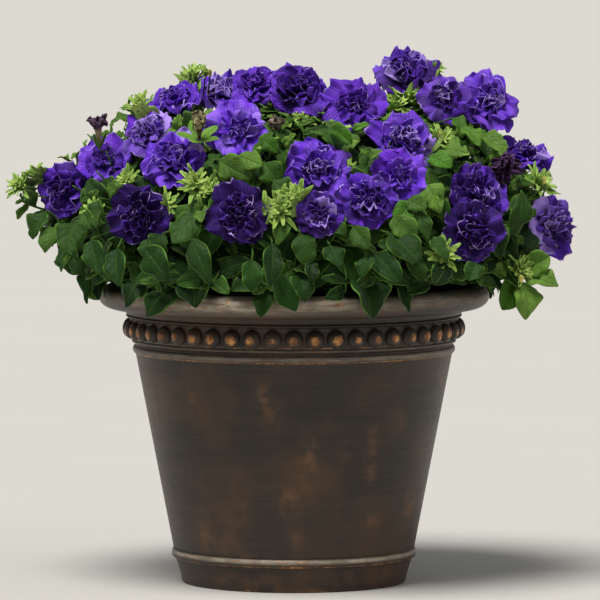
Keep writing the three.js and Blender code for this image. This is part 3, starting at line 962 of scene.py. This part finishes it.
# The front's plainest leaves, where the photograph shows them: across and up to a leaf's foot, the
# same for its tip, the depth of its middle (less than 0 before the planter's axis), and its width.
front_leaves = [
    (-263, 409, -291, 409, -40, 14), (-240, 394, -263, 386, -80, 23), (-223, 382, -232, 349, -120, 31),
    (-235, 355, -232, 332, -90, 17), (-217, 340, -205, 300, -70, 14), (-201, 324, -198, 302, -90, 14),
    (-205, 367, -196, 331, -165, 21), (-188, 366, -187, 345, -175, 16), (-178, 359, -177, 322, -185, 24),
    (-150, 329, -168, 298, -150, 27), (-113, 321, -149, 294, -170, 34), (-145, 369, -148, 351, -200, 17),
    (-151, 362, -126, 335, -205, 29), (-96, 394, -122, 368, -205, 30), (-104, 373, -82, 330, -220, 22),
    (-99, 333, -100, 302, -200, 34), (-66, 353, -62, 312, -230, 37), (-43, 377, -36, 349, -230, 20),
    (-42, 351, -41, 322, -235, 20), (-22, 367, -24, 328, -235, 20), (-26, 320, -29, 293, -210, 22),
    (-14, 337, -3, 301, -225, 25), (6, 335, 8, 309, -225, 23), (6, 377, 16, 348, -230, 23),
    (-7, 390, -13, 366, -225, 16), (17, 348, 18, 331, -235, 14), (52, 329, 26, 331, -230, 9),
    (52, 316, 32, 312, -215, 14), (60, 330, 76, 291, -206, 44), (81, 357, 102, 326, -225, 25),
    (75, 354, 72, 332, -230, 17), (105, 326, 114, 298, -185, 12), (95, 376, 120, 345, -215, 32),
    (101, 393, 117, 368, -205, 24), (110, 411, 131, 398, -190, 18), (127, 399, 132, 370, -195, 15),
    (143, 438, 163, 413, -160, 23), (149, 457, 172, 444, -130, 22), (155, 345, 143, 323, -200, 23),
    (138, 322, 117, 314, -185, 14), (232, 413, 229, 371, -115, 24), (208, 325, 229, 312, -92, 22),
    (193, 468, 212, 444, -65, 21), (-77, 449, -46, 428, -185, 27), (-32, 469, -17, 455, -170, 15),
    (-58, 451, -32, 440, -185, 21), (37, 479, 59, 465, -160, 19),
    (6, 479, 25, 465, -165, 17), (45, 461, 59, 457, -170, 15), (92, 493, 112, 483, -115, 17),
    (163, 485, 177, 473, -70, 15), (171, 477, 189, 457, -80, 19), (-189, 421, -173, 409, -145, 17),
    (-197, 407, -199, 379, -150, 17), (-214, 393, -205, 377, -145, 19), (-135, 375, -139, 358, -200, 19),
    (-82, 412, -78, 389, -205, 12), (184, 344, 178, 325, -185, 19), (36, 365, 42, 342, -230, 21),
    (-91, 466, -67, 453, -152, 11),
    (59, 383, 79, 363, -220, 21), (32, 387, 50, 377, -220, 15), (137, 369, 153, 350, -200, 17),
]
# The same for the fresh leaves of the shoot that hangs out at the lower right.
fresh_leaves = [
    (228, 321, 213, 292, -88, 25), (232, 320, 243, 284, -92, 30), (236, 323, 266, 308, -86, 27),
    (236, 329, 260, 342, -84, 25), (226, 328, 205, 330, -84, 20),
]


def shown_ends(foot_x, foot_z, tip_x, tip_z, y, forward):
    """The foot and tip of a leaf from its row, with the tip nearer to the front."""
    return (foot_x, y + forward, foot_z), (tip_x, y - forward, tip_z)


shown_leaves = []
for *ends, width in front_leaves:
    fresh = np.interp(ends[1], (365, 470), (0.0, 0.45)) * luck.uniform(0.4, 1.3)
    shown_leaves.append((*shown_ends(*ends, 5), width, 0.65, 24, 0.45, fresh))
for *ends, width in fresh_leaves:
    shown_leaves.append((*shown_ends(*ends, 3), width, 1.5, 24, 0.15, 0.45))

# Leaves that hang over the planter's rim round the sides and the back.
rim_leaves = 44
for k in range(rim_leaves):
    turn = math.radians(-22 + 224 * (k + 0.5) / rim_leaves)
    outward = np.array([math.cos(turn), math.sin(turn), 0])
    foot = outward * luck.uniform(184, 200) + upwards * luck.uniform(322, 342)
    sideways = np.cross(upwards, outward) * luck.uniform(-14, 14)
    hanging = luck.uniform(284, 308) + 20 * abs(outward[0]) ** 8
    tip = outward * luck.uniform(206, 222) + sideways + upwards * hanging
    shown_leaves.append((foot, tip, luck.uniform(26, 42), 0.0, 30, 0.45, 0.05))


def add_shown_leaf(foot, tip, width, frontal, press, leaning, young, luck):
    """A leaf from its foot to its tip, on a stalk from the nearest branch. It is turned to the front
    as much as frontal says, and pressed back no further than press."""
    foot, tip = np.array(foot, dtype=float), np.array(tip, dtype=float)
    outward = unit(unit((foot[0], foot[1], 0)) + frontal * front_way)
    turned_to = [luck.uniform(-leaning, leaning) for _ in range(3)]
    grown = add_leaf(branch_growths[nearest_branch(foot)[0]], foot, unit(tip - foot),
                     unit(outward + 0.35 * upwards + turned_to), 1.12 * np.linalg.norm(tip - foot), luck,
                     young, width * 1.08, luck.uniform(15, 60), luck.uniform(8, 28), press=press, lowest=262)
    if grown:
        add_side_shoot(foot, luck, way=unit(shoot_way(foot) + 0.4 * unit(tip - foot)))


for shown in shown_leaves:
    add_shown_leaf(*shown, luck)

# Broad leaves along the mound's left edge and over its shaded middle, each with how young it is.
broad_leaves = [
    (-254, 390, -267, 364, -70, 25, 0.12), (-231, 358, -224, 326, -66, 26, 0.12),
    (-215, 330, -201, 303, -70, 20, 0.12), (-246, 372, -254, 346, -40, 24, 0.12),
    (-30, 446, -16, 424, -190, 24, 0.2), (-22, 428, 2, 410, -200, 22, 0.1),
    (176, 452, 196, 428, -110, 26, 0.3), (134, 424, 150, 398, -165, 24, 0.45),
    (118, 404, 104, 384, -190, 20, 0.45), (138, 450, 156, 436, -150, 20, 0.55),
]
edge_luck = random.Random(21)
for *ends, width, young in broad_leaves:
    add_shown_leaf(*shown_ends(*ends, 4), width, 1.2, 24, 0.2, young, edge_luck)


# Young shoot tips: tight, pale, downy tufts of narrow leaves with buds among them. A row holds a
# tuft's middle and its size.
tufts = [
    (118, 0, 502, 42), (100, -12, 492, 36), (134, 0, 490, 40), (82, 0, 495, 36), (10, -60, 478, 34),
    (-20, -55, 458, 24), (-92, -98, 450, 22), (-283, -40, 414, 24), (152, -75, 462, 30),
    (-104, 8, 523, 34), (-92, 6, 526, 24), (-158, -50, 497, 28), (-268, -40, 424, 22),
    (-98, -178, 422, 32), (-84, -184, 414, 28), (-14, -222, 400, 34), (4, -216, 411, 28),
    (-30, -216, 396, 26), (-170, -140, 424, 22), (-130, -175, 402, 22),
    (-203, -140, 392, 20), (146, 0, 536, 16), (252, -62, 418, 30), (232, -92, 330, 24),
    (8, -72, 484, 16), (142, -125, 468, 20), (56, -165, 440, 12), (152, -190, 352, 26),
    (5, 118, 496, 24), (-100, 160, 455, 24), (120, 190, 430, 24), (-220, 120, 395, 22),
    (240, 60, 400, 24), (22, 34, 500, 22), (-150, 60, 480, 22), (190, 60, 485, 24),
]
tuft_leaves = 24


def add_bud(growth, foot, way, length, luck, young=0.9):
    """A closed bud: a downy spindle."""
    rows = np.linspace(0, 1, 9)
    swell = np.interp(rows, (0, 0.15, 0.55, 0.85, 1), (0.35, 0.75, 1, 0.6, 0.08)) * length * 0.17
    path = foot + way * rows[:, None] * length
    add_tube(growth, path, swell, 10, stem=0.6, young=young, tone=luck.random())


for x, y, z, size in tufts:
    tip = np.array([x, y, z], dtype=float)
    growth = branch_growths[add_side_shoot(tip, luck)]
    way = unit(mound_normal(tip) + 0.35 * upwards + 0.7 * front_way * (y < hidden_depth))
    side, other = square_to(way, (0.3, 0.2, 1))
    for k in range(tuft_leaves):
        share = k / (tuft_leaves - 1)
        turn = golden_angle * k
        outward = side * math.cos(turn) + other * math.sin(turn)
        lean = 0.25 + 1.3 * share
        foot = tip - way * share * size * 0.35
        length = size * (0.45 + 0.5 * share) * luck.uniform(0.85, 1.15)
        add_leaf(growth, foot, unit(way + lean * outward), unit(way - 0.2 * outward), length, luck,
                 young=1.0 - 0.25 * share, width=length * luck.uniform(0.17, 0.3),
                 droop=luck.uniform(10, 70), lift=luck.uniform(0, 15), press=30, shows=False)
    for k in range(3):
        lean = side * luck.uniform(-0.6, 0.6) + other * luck.uniform(-0.6, 0.6)
        add_bud(growth, tip - way * 1.5, unit(way + lean), size * luck.uniform(0.35, 0.5), luck)


# Buds that are about to show colour, pale yellow and larger than the rest.
bud_way = front_way + 0.6 * upwards
for place in [(-87, -8, 527), (5, -64, 482), (150, -100, 466), (256, -92, 420), (232, -118, 321)]:
    foot = np.array(place, dtype=float)
    index = add_side_shoot(foot, luck, way=unit(bud_way), held=True)
    for lean in (0, 0.5):
        way = unit(bud_way + lean * np.array([luck.uniform(-1, 1), 0, 0.3]))
        add_bud(branch_growths[index], foot - 2 * way, way, 14 - 8 * lean, luck, young=1.5)

# Stalks of the spent blooms, each with its own green lobes. A row holds the foot of the spent
# corolla, the way it points, and its lobes' width and spread.
spent_blooms = [
    ((-200, -60, 456), (-0.06, -0.2, 1), 4.6, 0.35), ((-96, -134, 467), (0.02, -0.55, 1), 12, 1.5),
    ((-18, -126, 470), (0.0, -0.5, 1), 4.6, 0.5), ((206, -70, 440), (0.35, -0.9, -0.1), 4.6, 0.4),
]
for place, facing, width, spread in spent_blooms:
    foot, facing = np.array(place, dtype=float), unit(facing)
    index = add_side_shoot(foot - 3 * facing, luck, way=facing, held=True)
    add_lobes(branch_growths[index], foot - 2 * facing, facing, 17 + 5 * spread, width, spread, luck, 0.6)

# The green: dark and shaded inside, fresher at the young tips, with pale ribs and veins, and pale
# edges that are partly painted rim light on the margins' hairs.
green = Finish("leaf_green", Specular_IOR_Level=0.13, Sheen_Weight=0.03, Sheen_Roughness=0.5,
               Subsurface_Weight=0.1, Subsurface_Radius=(0.3, 0.6, 0.1), Subsurface_Scale=0.002)
along, across = green.value("along"), green.value("across")
young, tone = green.value("young"), green.value("tone")
under, stem = green.value("under"), green.value("stem")
off_rib = abs(across)
rib = off_rib.between(0.1, 0.0) * (1 - stem)
side_veins = (along * 5.5 - off_rib * 1.8).wave().between(0.86, 1.0) * off_rib.between(0.98, 0.5)
# The edge: a paler margin that also carries painted rim light on its hairs.
edge = off_rib.between(0.86, 0.97) * (1 - stem)
mottle = green.noise(55, 3)
old_leaf = green.mix(tone, colour(13, 36, 6), colour(33, 69, 15))
young_leaf = green.mix(tone, colour(86, 144, 32), colour(166, 208, 92))
blade = green.mix(young, old_leaf, young_leaf)
downy = young.between(0.6, 1.0)
for share, tint in [
    (downy * 0.62, (208, 230, 128)),                            # the down of the youngest leaves
    (downy * along.between(0.5, 0.05) * 0.6, (52, 86, 24)),     # the shade between them
    (mottle.between(0.35, 0.7) * 0.35, (12, 34, 6)),            # uneven green
    (under * 0.35, (64, 98, 40)),                               # a leaf's underside
    ((rib * 0.28).larger(side_veins * 0.08), (80, 122, 42)),    # its ribs
    (edge * (0.2 + 0.55 * green.noise(34, 2)), (104, 148, 52)),     # its edge: a paler margin and painted rim light on its hairs
    (stem * 0.6, (60, 92, 30)),                                 # stems
    (young.between(1.0, 1.4), (200, 192, 104)),                 # buds about to show colour
]:
    blade = green.mix(share, blade, colour(*tint))
down = 0.35 * green.noise(700, 2) + green.noise(170, 2)
green.paint(
    Base_Color=blade,
    Roughness=0.62 - 0.12 * mottle,
    Normal=green.relief(mottle * 0.4 - side_veins * 0.5 - rib * 0.6 + down, 0.0012),
)

for index, growth in enumerate(branch_growths):
    made = growth.made(f"leafy_branch_{index + 1:02d}", green, "leaves")
    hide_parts(f"branch_{index + 1:02d}")


# ---- The blooms ------------------------------------------------------------------------------
# Double corollas: a short ribbed tube opens into five broad, wavy lobes, and more crumpled petals
# crowd its middle. The petals are thin, velvety and deep violet, paler behind, and paler at their
# edges, where painted rim light is added to their own paler margins.

petal_along, petal_across, petal_faces, petal_values = blade_grid(17, 25)


def petal_sheet(length, width, start_pitch, end_pitch, ruffle, roll, cup, waves, luck):
    """A petal and how high its folds stand: X across it, Y out from the bloom's axis, Z along it."""
    t, s = petal_along, petal_across
    phase = [luck.uniform(0, 6.3) for _ in range(7)]
    edge_roll = roll * (0.3 + 0.7 * np.sin(np.pi * waves * s + phase[0]))
    pitch = start_pitch + (end_pitch - start_pitch) * t ** 0.7
    pitch = np.radians(pitch - edge_roll * np.clip((t - 0.5) / 0.5, 0, 1) ** 1.6)
    scallop = 0.04 * t * np.sin(3.2 * np.pi * waves * s + phase[5])
    rounding = 0.5 + 0.5 * (1 - np.abs(s) ** 3) ** 0.6 - 0.07 * np.exp(-(s / 0.24) ** 2)
    step = length * (rounding + scallop) / (len(t) - 1)
    y = np.cumsum(np.sin(pitch) * step, axis=0)
    z = np.cumsum(np.cos(pitch) * step, axis=0)
    ruffles = np.pi * 1.35 * waves * s
    folds = np.sin(ruffles + phase[1]) + 0.35 * np.sin(2.2 * ruffles + phase[2])
    frill = 0.28 * t ** 3 * np.sin(2.7 * ruffles + phase[6])
    lift = ruffle * t ** 1.7 * (folds + frill)
    lift += 0.03 * length * t * (np.sin(5 * t + 3 * s + phase[3]) + np.sin(8 * t - 5 * s + phase[4]))
    lift += cup * width * s ** 2 * t
    spread = np.interp(t, (0, 0.2, 0.5, 0.75, 0.9, 1), (0.2, 0.52, 0.86, 1.0, 0.98, 0.86))
    x = s * width / 2 * spread + 0.45 * ruffle * t ** 2 * np.cos(ruffles + phase[1]) * (1 - s ** 4)
    return np.stack([x, y - lift * np.cos(pitch), z + lift * np.sin(pitch)], axis=2), (folds + frill) * t


# For each ring of petals: how many, length and width as parts of the bloom's radius, pitch from
# the axis where it starts and ends in degrees and how far that varies, ruffle, roll of the edge in
# degrees, cup, waves, and where it leaves the axis, outwards and along it.
petal_rings = [
    (5, 1.14, 1.46, 40, 98, 15, 0.092, 24, 0.00, 1.4, 0.10, -0.42),
    (5, 0.94, 1.13, 28, 78, 26, 0.130, 38, 0.04, 1.6, 0.09, -0.36),
    (5, 0.78, 0.86, 12, 56, 32, 0.135, 62, 0.10, 1.7, 0.07, -0.28),
    (5, 0.61, 0.62, -4, 40, 32, 0.130, 90, 0.20, 1.5, 0.05, -0.20),
    (3, 0.44, 0.46, -16, 24, 26, 0.090, 110, 0.50, 1.1, 0.03, -0.12),
]

# The velvet: deep violet with streaks and clouds of painted shade and highlight, paler where a petal
# is washed out or turned over, darkened by painted shade at the bloom's heart, with pale rims here
# and there that are partly painted rim light.
velvet = Finish("petal_velvet", Specular_IOR_Level=0.06)
along, across = velvet.value("along"), velvet.value("across")
tone, pale, under = velvet.value("tone"), velvet.value("pale"), velvet.value("under")
inner = velvet.value("inner")
cloud = velvet.noise(48, 3)
streaks = velvet.noise(170, 3)
veins = (across * 8 + velvet.noise(90, 2) * 0.8).wave().between(0.7, 1.0) * along.between(0.05, 0.4)
# Pale rims: the petals' own paler margins with painted rim light, here and there as the noise picks them.
rim = along.between(0.94, 1.0).larger(abs(across).between(0.95, 1.0) * along.between(0.4, 0.8))
rim_light_and_margin = velvet.noise(60, 2).between(0.5, 0.66)
flushed = velvet.noise(11, 1).between(0.5, 0.7)
# Deep and bright are shaded and lit copies of the violet: their mix in clouds and streaks, and the tone that
# picks between them, paint shade and highlight.
deep = velvet.mix(tone, colour(14, 3, 38), colour(98, 38, 212))
bright = velvet.mix(tone, colour(31, 9, 82), colour(150, 94, 252))
lit = velvet.mix((cloud * 0.6 + streaks * 0.4).between(0.4, 0.64) * 0.65, deep, bright)
lit = velvet.mix(flushed * tone * 0.45, lit, colour(108, 34, 176))
washed = velvet.mix((pale * cloud.between(0.38, 0.62)).larger(pale.between(0.75, 1.0)),
                    lit, colour(172, 144, 226))
backed = velvet.mix(under * (0.1 + 0.35 * cloud) * (0.35 + 0.65 * tone), washed, colour(122, 84, 204))
veined = velvet.mix(veins * 0.35 * (1 - pale), backed, colour(30, 10, 78))
# Painted shade at the bloom's heart, where the inner value is high.
shaded = velvet.mix(inner * 0.6, veined, colour(18, 5, 46))
velvet.paint(
    Base_Color=velvet.mix(rim * (0.04 + 0.75 * rim_light_and_margin), shaded, colour(198, 172, 242)),
    Roughness=0.62 - 0.12 * cloud,
    Normal=velvet.relief(streaks * 0.8 - veins * 0.4 + 0.4 * cloud, 0.0011),
)

open_sizes = (1, 0.74, 0.56, 0.48, 0.5)    # of each ring, in a bloom with an open middle

# The tube flares towards its mouth: levels along the axis, then its radius there, both as parts of
# the bloom's radius. Five ribs run along it.
tube_levels = (-tube_behind, -0.6, -0.42, -0.30)
tube_flare = (0.085, 0.11, 0.15, 0.26)
tube_ribs = 1 + 0.07 * np.cos(5 * np.linspace(0, 2 * np.pi, 20, endpoint=False))

for number, (diameter, _, _, fullness, paleness, brightness) in enumerate(blooms, start=1):
    luck = random.Random(500 + number)
    radius = diameter / 2
    middle, facing = bloom_places[number - 1], bloom_facings[number - 1]
    side, other = square_to(facing, -upwards)
    corolla = Growth("along", "across", "tone", "pale", "under", "inner")
    spin = luck.uniform(0, 6.3)
    for ring, row in enumerate(petal_rings):
        count, length, width, start, end, vary, ruffle, roll, cup, waves, root, level = row
        size = np.interp(fullness, (0.3, 1), (open_sizes[ring], 1))
        for k in range(count):
            turn = spin + 2 * math.pi * (k + 0.5 * ring + luck.uniform(-0.2, 0.2)) / count
            outward = side * math.cos(turn) + other * math.sin(turn)
            sheet, folds = petal_sheet(
                radius * length * size * luck.uniform(0.76, 1.1),
                radius * width * size * luck.uniform(0.8, 1.25),
                start + luck.uniform(-8, 8), end + luck.uniform(-vary, vary),
                radius * ruffle * luck.uniform(0.7, 1.4), roll * luck.uniform(0.5, 1.3), cup,
                waves + luck.uniform(-0.25, 0.35), luck)
            foot = middle + outward * radius * root + facing * radius * (level + luck.uniform(-0.02, 0.02))
            twist = luck.uniform(-0.16, 0.16)
            across_way = math.cos(twist) * np.cross(facing, outward) + math.sin(twist) * facing
            placed = laid(sheet, foot, across_way, outward, facing)
            # Painted shade: the inner value darkens the petals towards the bloom's heart.
            from_core = np.linalg.norm(placed - (middle - 0.1 * radius * facing), axis=2) / radius
            palest = luck.random() < 0.4 * paleness and paleness < 1.5
            # Painted light: the tone follows the bloom's brightness, which is partly painted shade, and each
            # fold's height, as painted highlight on the ridges and painted shade in the hollows.
            lightness = 0.03 + 0.86 * brightness + luck.uniform(-0.2, 0.2)
            corolla.add(
                shell_of(placed, 0.35), petal_faces, **petal_values,
                tone=both_sides(np.clip(lightness + 0.2 * folds, 0, 1)),
                pale=min(1, 0.45 * paleness * luck.uniform(0.2, 1.0) + palest),
                inner=both_sides(np.clip(1 - from_core / 0.75, 0, 1)),
            )
    levels = np.linspace(-tube_behind, tube_levels[-1], 12)
    flare = np.interp(levels, tube_levels, tube_flare) * radius
    add_tube(corolla, middle + facing * radius * levels[:, None], np.outer(flare, tube_ribs), 20,
             along=0.45, across=0.3, tone=0.7, pale=0.6, under=0.6, inner=0.2)
    made = corolla.made(f"bloom_{number:02d}", velvet, "petals")
    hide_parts(f"flower_{number:02d}")


# ---- The spent blooms ------------------------------------------------------------------------
# Corollas that have finished: a shrunken tube with dry petals crumpled together at its mouth,
# still held by their green lobes on the stalks of the branches.

withered = Finish("withered_petal", Specular_IOR_Level=0.15, Roughness=0.8)
creases = withered.noise(260, 4)
dry, along = withered.value("dry"), withered.value("along")
wilting = withered.mix(creases.between(0.35, 0.65), colour(28, 12, 36), colour(88, 60, 98))
dried = withered.mix(creases.between(0.35, 0.65), colour(52, 44, 34), colour(178, 168, 128))
tube = withered.mix(dry, colour(186, 160, 128), colour(88, 54, 38))
withered.paint(
    Base_Color=withered.mix(along.between(0.3, 0.0) * 0.8, withered.mix(dry, wilting, dried), tube),
    Normal=withered.relief(creases, 0.0012),
)

# For each spent bloom: the tube's length and width at its mouth, the petals' length, how far they
# spread in degrees, and how dry it is.
spent_shapes = [(17, 8, 16, 50, 0.1), (11, 7, 19, 16, 1.0), (6, 7, 14, 26, 0.5), (10, 9, 24, 60, 0.0)]
for number, ((place, facing, _, _), shape) in enumerate(zip(spent_blooms, spent_shapes), start=1):
    luck = random.Random(900 + number)
    tube_length, mouth, petal_length, opening, dryness = shape
    foot, facing = np.array(place, dtype=float), unit(facing)
    side, other = square_to(facing)
    husk = Growth("along", "dry")
    levels = np.linspace(0, 1, 8)
    flare = np.interp(levels, (0, 0.5, 1), (1.6, 0.3 * mouth, 0.5 * mouth))
    add_tube(husk, foot + facing * tube_length * levels[:, None], flare, 12, dry=dryness)
    for k in range(9):
        turn = golden_angle * k
        outward = side * math.cos(turn) + other * math.sin(turn)
        length = petal_length * luck.uniform(0.6, 1.1)
        sheet, _ = petal_sheet(length, length * luck.uniform(0.5, 0.8), luck.uniform(-5, 15),
                               opening * luck.uniform(0.2, 1.6), 0.17 * length, 110, 0.5, 1.6, luck)
        start = foot + facing * (tube_length - 1.5) + outward * mouth * luck.uniform(0.1, 0.4)
        placed = laid(sheet, start, np.cross(facing, outward), outward, facing)
        husk.add(shell_of(placed, 0.4), petal_faces, dry=dryness, **petal_values)
    husk.made(f"spent_bloom_{number:02d}", withered, "petals")


# ---- The floor, the light and the camera -----------------------------------------------------
# A plain pale floor under soft, overcast light, seen from the photograph's viewpoint: a long lens
# a little above the mound, looking slightly down.

floor_finish = Finish("floor_paint", Roughness=0.85, Specular_IOR_Level=0.2)
cloudy = floor_finish.noise(3, 2)
floor_finish.paint(Base_Color=floor_finish.mix(cloudy, colour(180, 178, 173), colour(184, 182, 177)))
floor_points, floor_faces = turned([(30000, 0), (1200, 0), (300, 0), (1, 0)], 96)
smooth_shape("floor", floor_points, floor_faces, floor_finish)

world = bpy.data.worlds.new("overcast")
world.use_nodes = True
sky = world.node_tree.nodes["Background"]
sky.inputs["Color"].default_value = (0.94, 0.965, 1.0, 1)
sky.inputs["Strength"].default_value = 0.26
bpy.context.scene.world = world

# Two broad suns: where each stands, round from the front towards the right and up, in degrees, its
# strength, and how wide it looks, in degrees.
for label, turn, height, strength, softness in [
    ("high_left", -28, 66, 4.3, 28),
    ("high_right", 50, 45, 0.4, 50),
]:
    lamp = bpy.data.lights.new(label, "SUN")
    lamp.energy = strength
    lamp.angle = math.radians(softness)
    lamp.color = (1.0, 0.98, 0.94)
    in_scene(label, lamp).rotation_euler = (math.radians(90 - height), 0, math.radians(turn))

eye = np.array([0.0063, -6.5, 0.753])
target_z = 0.293
view_pitch = math.atan2(eye[2] - target_z, -eye[1])
camera = bpy.data.cameras.new("camera")
camera.lens = 376
camera.sensor_width = 36
camera.clip_end = 100
viewpoint = in_scene("camera", camera)
viewpoint.location = eye
viewpoint.rotation_euler = (math.pi / 2 - view_pitch, 0, 0)
bpy.context.scene.camera = viewpoint
bpy.context.scene.view_settings.view_transform = "Standard"
